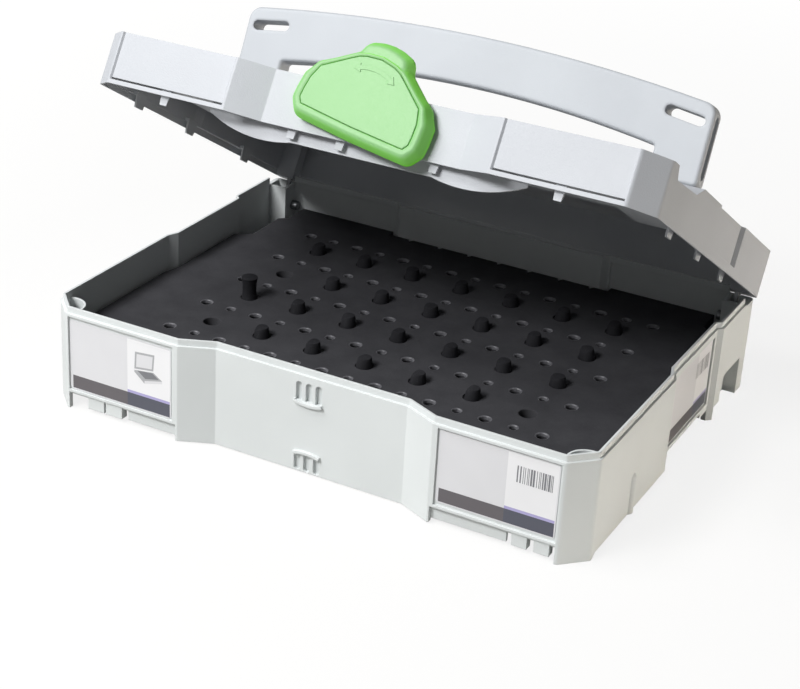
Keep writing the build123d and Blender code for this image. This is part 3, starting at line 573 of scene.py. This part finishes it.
def rounded_knob():
    """The knob's plate with its pocket for the face panel, and the hook behind it."""
    shape = bmesh.new()
    loops = []
    for lengths, height, grow in knob_rings():
        loop = []
        for number, length in enumerate(lengths):
            x, y = on_spoke(number, length)
            beyond = min(1.0, max(0.0, (outside_ring(x, y) - grow - NECK_FROM) / KNOB_STEP))
            drop = NECK_DROP * beyond * height / KNOB_THICKNESS
            loop.append(shape.verts.new(latch_point(x, y, KNOB_REAR + height - drop)))
        loops.append(loop)
    for outer, inner in zip(loops, loops[1:]):
        bridge(shape, outer, inner)
    shape.faces.new(loops[0])
    shape.faces.new(loops[-1])
    bmesh.ops.recalc_face_normals(shape, faces=shape.faces)
    shape.from_mesh(knob_hook())
    mesh = to_mesh(shape, "Latch_knob")
    smooth_by_angle(mesh, 50)
    return mesh


knob_piece = new_piece("Latch_knob", rounded_knob(), "latch", latch_green)
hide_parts("latch_knob")


# Foam block, with round holes where the CAD's are


def top_loops(mesh):
    """The closed loops round the top faces of a mesh, as lists of points."""
    top = max(v.co.z for v in mesh.vertices)
    key = {v.index: (round(v.co.x, 5), round(v.co.y, 5)) for v in mesh.vertices}
    used = {}
    for face in mesh.polygons:
        if all(abs(mesh.vertices[i].co.z - top) < 0.01 * MM for i in face.vertices):
            for a, b in face.edge_keys:
                pair = tuple(sorted((key[a], key[b])))
                used[pair] = used.get(pair, 0) + 1
    after = {}
    for (a, b), count in used.items():
        if count == 1:
            after.setdefault(a, []).append(b)
            after.setdefault(b, []).append(a)
    loops = []
    while after:
        start = min(after)
        loop = [start]
        while True:
            here = loop[-1]
            onward = [p for p in after[here] if p not in loop]
            if not onward:
                break
            loop.append(onward[0])
        for point in loop:
            after.pop(point)
        loops.append(loop)
    return loops


foam_low, foam_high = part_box("foam_insert")
loops = sorted(top_loops(NODES["foam_insert"].data), key=len)
outline = max(loops, key=lambda loop: max(p[0] for p in loop) - min(p[0] for p in loop))
holes = []
for loop in loops:
    if loop is outline:
        continue
    middle = Vector((sum(p[0] for p in loop), sum(p[1] for p in loop))) / len(loop)
    holes.append((middle, max((Vector(p) - middle).length for p in loop)))
LARGE_RADIUS = max(radius for _, radius in holes)
LARGE_FROM = 0.9 * LARGE_RADIUS

NOTCH_PITCH = 25 * MM
NOTCH_FIRST = -72 * MM
NOTCH_COUNT = 7
NOTCH_WIDTH = 4 * MM
NOTCH_DEPTH = 3.5 * MM


def notched(points, edge_y):
    """The foam's outline with small V cuts along its middle rear edge."""
    result = []
    cuts = [NOTCH_FIRST + i * NOTCH_PITCH for i in range(NOTCH_COUNT)]
    for i, here in enumerate(points):
        onward = points[(i + 1) % len(points)]
        result.append(here)
        if abs(here[1] - edge_y) > 0.1 * MM or abs(onward[1] - edge_y) > 0.1 * MM:
            continue
        low, high = sorted((here[0], onward[0]))
        inside = [c for c in cuts if low + NOTCH_WIDTH < c < high - NOTCH_WIDTH]
        if onward[0] < here[0]:
            inside.reverse()
        step = 1 if onward[0] > here[0] else -1
        for cut in inside:
            result.append((cut - step * NOTCH_WIDTH / 2, edge_y))
            result.append((cut, edge_y - NOTCH_DEPTH))
            result.append((cut + step * NOTCH_WIDTH / 2, edge_y))
    return result


def filled_outline(name, rings, low, high, soft):
    """A flat block between two heights, from its outline and holes, with softened edges."""
    curve = bpy.data.curves.new(name, "CURVE")
    curve.dimensions = "2D"
    curve.fill_mode = "BOTH"
    curve.extrude = (high - low) / 2 - soft
    curve.bevel_depth = soft
    curve.bevel_resolution = 2
    curve.offset = -soft
    for ring in rings:
        line = curve.splines.new("POLY")
        line.points.add(len(ring) - 1)
        for point, (x, y) in zip(line.points, ring):
            point.co = (x, y, 0, 1)
        line.use_cyclic_u = True
    holder = bpy.data.objects.new(name, curve)
    bpy.context.scene.collection.objects.link(holder)
    bpy.context.view_layer.update()
    depsgraph = bpy.context.evaluated_depsgraph_get()
    mesh = bpy.data.meshes.new_from_object(holder.evaluated_get(depsgraph))
    bpy.data.objects.remove(holder)
    mesh.transform(Matrix.Translation((0, 0, (low + high) / 2)))
    return mesh


HOLE_POINTS = 28


def circle(middle, radius):
    """Points round a circle."""
    turns = [2 * math.pi * i / HOLE_POINTS for i in range(HOLE_POINTS)]
    return [(middle[0] + radius * math.cos(t), middle[1] + radius * math.sin(t)) for t in turns]


RIM_WIDTH = 0.9 * MM
RIM_DEPTH = 2.4 * MM
RIM_INWARD = 0.25 * MM
RIM_INWARD_LOW = 0.3 * MM
RIM_PROUD = 0.04 * MM
RIM_STEPS = 5


def sealed_rims(mesh, places):
    """Adds to the foam the rounded, heat-sealed rims of its small holes."""
    shape = bmesh.new()
    shape.from_mesh(mesh)
    for middle, radius in places:
        rings = []
        for step in range(RIM_STEPS + 1):
            turn = math.radians(90 * step / RIM_STEPS)
            out = radius + RIM_WIDTH * (1 - math.sin(turn)) - RIM_INWARD
            down = RIM_WIDTH * (1 - math.cos(turn)) - RIM_PROUD
            rings.append((out, foam_high.z - down))
        rings.append((radius - RIM_INWARD_LOW, foam_high.z - RIM_DEPTH))
        loops = []
        for out, z in rings:
            loops.append([shape.verts.new((x, y, z)) for x, y in circle(middle, out)])
        for upper, lower in zip(loops, loops[1:]):
            for i in range(HOLE_POINTS):
                j = (i + 1) % HOLE_POINTS
                face = shape.faces.new((upper[i], lower[i], lower[j], upper[j]))
                face.material_index = 1
    shape.to_mesh(mesh)
    shape.free()


REAR_FROM = 130 * MM
FOAM_SOFT = 0.45 * MM
LAYER_SOFT = 0.2 * MM
LAYER_GAP = 0.05 * MM

rear_middle_y = min(p[1] for p in outline if p[1] > REAR_FROM)
foam_rings = [notched(outline, rear_middle_y)]
foam_rings += [circle(middle, radius) for middle, radius in holes]
foam_mesh = filled_outline("Foam_block", foam_rings, foam_low.z, foam_high.z, FOAM_SOFT)
sealed_rims(foam_mesh, [hole for hole in holes if hole[1] < LARGE_FROM])
smooth_by_angle(foam_mesh, 50)
foam_block = new_piece("Foam_block", foam_mesh, "base", foam_black, sealed_rim_painted_highlight)
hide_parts("foam_insert")

layer_low, layer_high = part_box("foam_base_layer")
layer_mesh = filled_outline(
    "Foam_layer", [outline], layer_low.z, layer_high.z - LAYER_GAP, LAYER_SOFT
)
foam_layer = new_piece("Foam_layer", layer_mesh, "base", foam_plug)
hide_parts("foam_base_layer")


# Plugs, cut from the foam when the large holes were punched


SLANT_ABOVE = 2 * MM
SLANT_GAIN = 1.6


def turned_mesh(name, profile, middle, points, wobble, seed, slant=None, lean=(0, 0)):
    """A round foam piece from its profile of radius and height, a little uneven and leaning. A
    slant is the direction in which its top falls away, and how deep."""
    draw = random.Random(seed)
    waves = [(draw.uniform(-1, 1), draw.uniform(0, 6.28)) for _ in range(4)]
    shape = bmesh.new()
    rings = []
    base = profile[0][1]
    for radius, height in profile:
        ring = []
        for i in range(points):
            turn = 2 * math.pi * i / points
            ripple = sum(a * math.sin((k + 2) * turn + p) for k, (a, p) in enumerate(waves))
            swell = 1 + wobble * ripple
            x, y, z = radius * swell * math.cos(turn), radius * swell * math.sin(turn), height
            if slant and height > foam_high.z + SLANT_ABOVE:
                facing = math.cos(turn - slant[0])
                z -= slant[1] * max(0.0, facing) ** 2 * radius / LARGE_RADIUS * SLANT_GAIN
            rise = height - base
            across = middle[0] + x + lean[0] * rise
            along = middle[1] + y + lean[1] * rise
            ring.append(shape.verts.new((across, along, z)))
        rings.append(ring)
    for low, high in zip(rings, rings[1:]):
        bridge(shape, low, high)
    shape.faces.new(list(reversed(rings[0])))
    top_rim = rings[-1]
    centre = shape.verts.new(sum((v.co for v in top_rim), Vector()) / points)
    for i in range(points):
        shape.faces.new((top_rim[i], top_rim[(i + 1) % points], centre))
    mesh = to_mesh(shape, name)
    smooth_by_angle(mesh, 48)
    return mesh


def nearest(node, middle):
    """How near a node's points come to a vertical line."""
    return min((Vector(v.co[:2]) - middle).length for v in NODES[node].data.vertices)


plug_low, plug_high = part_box("bit_plugs")
raised_low, raised_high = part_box("raised_plug")
PLUG_WITHIN = 1.5
PLUG_GAP = 0.3 * MM
PLUG_WAIST = 5.6 * MM
PLUG_CROWN = 4.4 * MM
PLUG_SHORTER = 0.9
PLUG_LEAN_ACROSS = (-0.03, 0.05)
PLUG_LEAN_ALONG = (-0.03, 0.03)
SLANT_TURNS = (185, 245)
SLANT_DEPTHS = (0.9, 1.5, 2.1)
plug_meshes = []
for number, (middle, radius) in enumerate(sorted(holes, key=lambda h: (h[0].y, h[0].x))):
    if radius < LARGE_FROM or nearest("bit_plugs", middle) > PLUG_WITHIN * radius:
        continue
    draw = random.Random(100 + number)
    tall = plug_high.z - draw.uniform(0.0, PLUG_SHORTER) * MM
    profile = [
        (radius - PLUG_GAP, plug_low.z),
        (radius - PLUG_GAP, foam_high.z - 1.2 * MM),
        (PLUG_WAIST, foam_high.z + 0.8 * MM),
        (PLUG_WAIST - 0.3 * MM, foam_high.z + 2.6 * MM),
        (PLUG_CROWN + 0.35 * MM, tall - 0.7 * MM),
        (PLUG_CROWN, tall - 0.1 * MM),
        (PLUG_CROWN - 0.6 * MM, tall),
    ]
    slant = (math.radians(draw.uniform(*SLANT_TURNS)), draw.choice(SLANT_DEPTHS) * MM)
    lean = (draw.uniform(*PLUG_LEAN_ACROSS), draw.uniform(*PLUG_LEAN_ALONG))
    plug_meshes.append(
        turned_mesh(
            "plug", profile, middle, points=28, wobble=0.012, seed=number, slant=slant, lean=lean
        )
    )


def joined(name, meshes):
    """Several meshes as one."""
    shape = bmesh.new()
    for mesh in meshes:
        shape.from_mesh(mesh)
    return to_mesh(shape, name)


plugs = new_piece("Foam_plugs", joined("Foam_plugs", plug_meshes), "base", foam_plug)
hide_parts("bit_plugs")

raised_middle = Vector(((raised_low.x + raised_high.x) / 2, (raised_low.y + raised_high.y) / 2))
shaft = 4.9 * MM
head = LARGE_RADIUS - 0.15 * MM
raised_profile = [
    (head, raised_low.z),
    (head, foam_high.z - 1.0 * MM),
    (shaft + 0.3 * MM, foam_high.z + 1.0 * MM),
    (shaft, foam_high.z + 5.0 * MM),
    (shaft + 0.1 * MM, raised_high.z - 5.0 * MM),
    (head - 0.2 * MM, raised_high.z - 1.4 * MM),
    (head, raised_high.z - 0.5 * MM),
    (head - 0.6 * MM, raised_high.z),
]
raised_mesh = turned_mesh(
    "Foam_plug_raised", raised_profile, raised_middle, points=36, wobble=0.008, seed=7
)
raised = new_piece("Foam_plug_raised", raised_mesh, "plug", foam_plug)
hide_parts("raised_plug")


# Label cards, printed in plain areas of colour


def card_outline(width, height, radius=2.0, steps=5):
    """A card's outline with rounded corners, in millimetres."""
    points = []
    corners = ((width - radius, radius, -90), (width - radius, height - radius, 0))
    corners += ((radius, height - radius, 90), (radius, radius, 180))
    for x, y, start in corners:
        for i in range(steps + 1):
            turn = math.radians(start + 90 * i / steps)
            points.append((x + radius * math.cos(turn), y + radius * math.sin(turn)))
    return points


def box_outline(left, low, right, high):
    """A plain rectangle, in millimetres."""
    return [(left, low), (right, low), (right, high), (left, high)]


CARD_BACK = 0.02
CARD_FACE = -0.08
PRINT_FACE = -0.07
PRINT_LAYER = 0.003


def card(name, node, along, print_areas, materials):
    """A card that fills its CAD node, with its printed areas laid on its face. Each later area
    lies a hair above the one before, and both faces stay just inside the node's box."""
    low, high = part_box(node)
    width = (high - low).dot(along) / MM
    height = (high.z - low.z) / MM
    outward = along.cross(Vector((0, 0, 1)))
    thick = abs((high - low).dot(outward))
    corner = low if outward.dot(Vector((1, 1, 0))) < 0 else Vector((high.x, low.y, low.z))
    shape = bmesh.new()

    def place(u, v, proud):
        return corner + along * (u * MM) + Vector((0, 0, v * MM)) + outward * (proud * MM)

    rim = card_outline(width, height)
    back = [shape.verts.new(place(u, v, -thick / MM + CARD_BACK)) for u, v in rim]
    front = [shape.verts.new(place(u, v, CARD_FACE)) for u, v in rim]
    shape.faces.new(list(reversed(back)))
    shape.faces.new(front)
    bridge(shape, back, front)
    for layer, (points, index) in enumerate(print_areas(width, height)):
        proud = PRINT_FACE + PRINT_LAYER * layer
        face = shape.faces.new([shape.verts.new(place(u, v, proud)) for u, v in points])
        face.material_index = index
    piece = new_piece(name, to_mesh(shape, name), "base", *materials)
    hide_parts(node)


GREY, WHITE, BAR, DARK, LINE, INK, INK_DARK = range(7)
BAR_HEIGHT = 9.6
LINE_HEIGHT = 2.0
SPLIT = 46.5
EDGE = 0.9
BAR_LEFT = 2.0
RULE_WIDTHS = (0.45, 0.45, 0.9, 1.2)
RULE_GAPS = (0.5, 0.8, 1.1)
RULES_FROM, RULES_TO = 28.0, 4.0
RULES_LOW, RULES_HIGH = 20.0, 8.5


def card_areas(width, height):
    """The areas that all three cards share."""
    right, top = width - EDGE, height - EDGE
    bar_top = EDGE + BAR_HEIGHT
    line_top = bar_top + LINE_HEIGHT
    return [
        (box_outline(SPLIT, EDGE, right, top), WHITE),
        (box_outline(BAR_LEFT, EDGE, SPLIT, bar_top), BAR),
        (box_outline(SPLIT, EDGE, right, bar_top), DARK),
        (box_outline(SPLIT, bar_top, right, line_top), LINE),
    ]


def picture_card(width, height):
    """The card with a plain drawing of an open box."""
    left, low = SPLIT + 5.6, 21.4
    base = [(left, low + 7), (left + 8, low + 1), (left + 22, low + 4.5), (left + 15, low + 9)]
    inside = [
        (left + 2.4, low + 7.2),
        (left + 8.6, low + 2.6),
        (left + 19.4, low + 5.0),
        (left + 14.2, low + 8.4),
    ]
    lid = [(left, low + 8), (left + 15, low + 10), (left + 16, low + 22), (left + 0.6, low + 20.6)]
    lid_inside = [
        (left + 1.4, low + 9.6),
        (left + 13.8, low + 11.2),
        (left + 14.6, low + 20.4),
        (left + 1.9, low + 19.2),
    ]
    side = [(left, low + 7), (left, low + 5.6), (left + 8, low - 1), (left + 8, low + 1)]
    front = [
        (left + 8, low + 1),
        (left + 8, low - 1),
        (left + 22, low + 2.6),
        (left + 22, low + 4.5),
    ]
    drawn = ((base, INK), (inside, INK_DARK), (lid, INK), (lid_inside, GREY))
    drawn += ((side, INK), (front, GREY))
    return card_areas(width, height) + [(list(reversed(points)), index) for points, index in drawn]


def ruled_card(width, height):
    """The card with plain ruled bars."""
    areas = card_areas(width, height)
    draw = random.Random(5)
    low, high = height - RULES_LOW, height - RULES_HIGH
    across = width - RULES_FROM
    while across < width - RULES_TO:
        bar = draw.choice(RULE_WIDTHS)
        areas.append((box_outline(across, low, across + bar, high), INK_DARK))
        across += bar + draw.choice(RULE_GAPS)
    return areas


prints = (card_grey, card_white, card_bar, card_dark, card_line, card_ink, card_ink_dark)
card("Card_front_left", "label_card_front_left", Vector((1, 0, 0)), picture_card, prints)
card("Card_front_right", "label_card_front_right", Vector((1, 0, 0)), ruled_card, prints)
card("Card_side_right", "label_card_side_right", Vector((0, 1, 0)), ruled_card, prints)


# Floor, light and camera


FLOOR_HALF = 6.0
FLOOR_LIFT = 0.76
FLOOR_GLOW_AT = (0.4, 1.8)
FLOOR_GLOW = (1.1, 1.32)
WORLD_LIGHT = 0.13
MIRRORED_LIGHT = 0.2


def build_floor():
    """A pale seamless floor that shows white to the camera and keeps the soft shadow."""
    material = bpy.data.materials.new("Pale studio floor")
    material.use_nodes = True
    tree = material.node_tree
    tree.nodes.clear()
    matt = add_node(tree, "ShaderNodeBsdfDiffuse", {"Color": linear("#C0BFBC")})
    place = add_node(tree, "ShaderNodeTexCoord")
    away = add_node(
        tree, "ShaderNodeVectorMath", {0: place.outputs["Object"]}, operation="LENGTH"
    )
    near, far = FLOOR_GLOW_AT
    brightness = add_node(
        tree,
        "ShaderNodeMapRange",
        {
            "Value": away.outputs["Value"],
            "From Min": near,
            "From Max": far,
            "To Min": FLOOR_GLOW[0],
            "To Max": FLOOR_GLOW[1],
        },
    )
    glow = add_node(
        tree,
        "ShaderNodeEmission",
        {"Color": linear("#FFFFFF"), "Strength": brightness.outputs["Result"]},
    )
    path = add_node(tree, "ShaderNodeLightPath")
    lift = add_node(
        tree,
        "ShaderNodeMath",
        {0: path.outputs["Is Camera Ray"], 1: FLOOR_LIFT},
        operation="MULTIPLY",
    )
    both = add_node(
        tree, "ShaderNodeMixShader", {0: lift.outputs[0], 1: matt.outputs[0], 2: glow.outputs[0]}
    )
    add_node(tree, "ShaderNodeOutputMaterial", {"Surface": both.outputs[0]})
    mesh = bpy.data.meshes.new("Floor")
    half = FLOOR_HALF
    corners = [(-half, -half, 0), (half, -half, 0), (half, half, 0), (-half, half, 0)]
    mesh.from_pydata(corners, [], [(0, 1, 2, 3)])
    mesh.materials.append(material)
    floor = bpy.data.objects.new("Floor", mesh)
    bpy.context.scene.collection.objects.link(floor)


def build_world():
    """Even white surroundings, with a plain level of light from all round."""
    world = bpy.data.worlds.new("White room")
    bpy.context.scene.world = world
    world.use_nodes = True
    tree = world.node_tree
    tree.nodes.clear()
    path = add_node(tree, "ShaderNodeLightPath")
    around = add_node(
        tree,
        "ShaderNodeMath",
        {0: path.outputs["Is Glossy Ray"], 1: MIRRORED_LIGHT, 2: WORLD_LIGHT},
        operation="MULTIPLY_ADD",
    )
    strength = add_node(
        tree,
        "ShaderNodeMath",
        {0: path.outputs["Is Camera Ray"], 1: around.outputs[0]},
        operation="MAXIMUM",
    )
    sky = add_node(
        tree,
        "ShaderNodeBackground",
        {"Color": linear("#FFFFFF"), "Strength": strength.outputs[0]},
    )
    add_node(tree, "ShaderNodeOutputWorld", {"Surface": sky.outputs[0]})


def soft_lamp(name, place, aim, size, watts, colour="#FFFFFF", spread_degrees=180):
    """A soft lamp of a width and height, aimed at a point."""
    lamp = bpy.data.lights.new(name, "AREA")
    lamp.shape = "RECTANGLE"
    lamp.size, lamp.size_y = size
    lamp.energy = watts
    lamp.spread = math.radians(spread_degrees)
    lamp.color = linear(colour)[:3]
    holder = bpy.data.objects.new(name, lamp)
    holder.location = place
    holder.rotation_euler = (Vector(aim) - Vector(place)).to_track_quat("-Z", "Y").to_euler()
    bpy.context.scene.collection.objects.link(holder)


AZIMUTH = math.radians(26.15)
ELEVATION = math.radians(26.70)
ROLL = math.radians(3.64)
DISTANCE = 1.3389
TARGET = Vector((0.0048, 0.0, 0.0244))
FOCAL_PIXELS = 1918.1
PICTURE_WIDTH, PICTURE_HEIGHT = 800, 689
CENTRE_PIXEL = (413.5, 363.1)
SENSOR = 36.0


def build_camera():
    """The photograph's camera: a long lens from the front right, a little rolled."""
    back = Vector(
        (
            math.sin(AZIMUTH) * math.cos(ELEVATION),
            -math.cos(AZIMUTH) * math.cos(ELEVATION),
            math.sin(ELEVATION),
        )
    )
    level = Vector((0, 0, 1)).cross(back).normalized()
    upright = back.cross(level)
    right = math.cos(ROLL) * level + math.sin(ROLL) * upright
    up = -math.sin(ROLL) * level + math.cos(ROLL) * upright
    data = bpy.data.cameras.new("Camera")
    data.sensor_width = SENSOR
    data.lens = FOCAL_PIXELS / PICTURE_WIDTH * SENSOR
    data.shift_x = (PICTURE_WIDTH / 2 - CENTRE_PIXEL[0]) / PICTURE_WIDTH
    data.shift_y = (CENTRE_PIXEL[1] - PICTURE_HEIGHT / 2) / PICTURE_WIDTH
    camera = bpy.data.objects.new("Camera", data)
    turn = Matrix((right, up, back)).transposed().to_4x4()
    camera.matrix_world = Matrix.Translation(TARGET + back * DISTANCE) @ turn
    bpy.context.scene.collection.objects.link(camera)
    bpy.context.scene.camera = camera


build_floor()
build_world()
soft_lamp("Key", (-0.98, -0.66, 1.87), (0, 0, 0.05), (0.8, 0.8), 24)
soft_lamp("Front left", (-0.71, -1.60, 1.64), (0, 0, 0.08), (0.9, 0.5), 50)
soft_lamp("Right", (1.35, 0.85, 0.04), (0, 0, 0.05), (1.2, 0.06), 7.0, "#FFF3E2")
soft_lamp("Low right", (1.5, 0.2, 0.05), (0.1, 0, 0.0), (1.2, 0.06), 0.5, "#FFF6EA", 24)
build_camera()
bpy.context.scene.view_settings.view_transform = "Standard"
